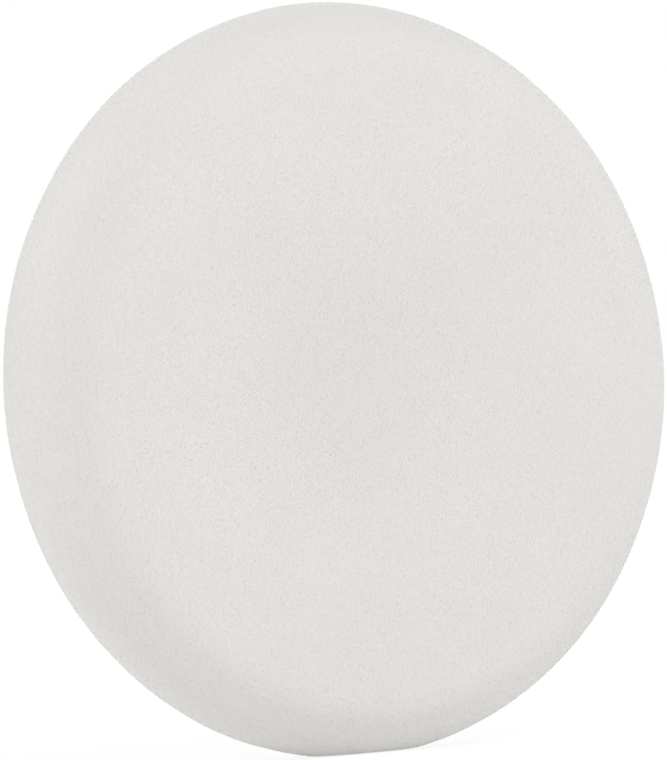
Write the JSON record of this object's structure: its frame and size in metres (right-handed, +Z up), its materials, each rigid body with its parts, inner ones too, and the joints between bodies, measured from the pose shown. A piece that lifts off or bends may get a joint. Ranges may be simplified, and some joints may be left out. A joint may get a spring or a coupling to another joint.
{
  "type": "powder puff",
  "caption": "Round plump velour powder puff with a shallow hollow in its face, a satin back and a bowed finger ribbon, standing on its rim.",
  "frame": {"origin": "middle of the flat at the lowest point of the rim, where the puff stands", "axes": "+Z up across the puff, -Y out of the velour face, +Y out of the back with the ribbon, +X along the ribbon"},
  "size_m": [0.08, 0.0226, 0.0795],
  "materials": {
    "velour": "off-white short-pile velour, matt with a soft sheen at grazing angles",
    "satin": "off-white woven satin, soft shine",
    "foam": "cream open-cell sponge",
    "wadding": "white fibre wadding",
    "ribbon": "off-white double-faced satin ribbon with woven edges",
    "thread": "off-white twisted sewing thread"
  },
  "bodies": {
    "pad": {"velour_cover": "velour", "satin_back": "satin", "foam_core": "foam", "front_wadding": "wadding", "needle_thread": "thread", "bobbin_thread": "thread", "closing_thread": "thread"},
    "ribbon": {"finger_ribbon": "ribbon"}
  },
  "joints": [
    {"name": "ribbon_press", "type": "slide", "parent": "pad", "child": "ribbon", "axis": [0, -1, 0], "range_m": [0, 0.0054], "stiffness_N_per_m": 15, "deforming": ["finger_ribbon"]}
  ]
}
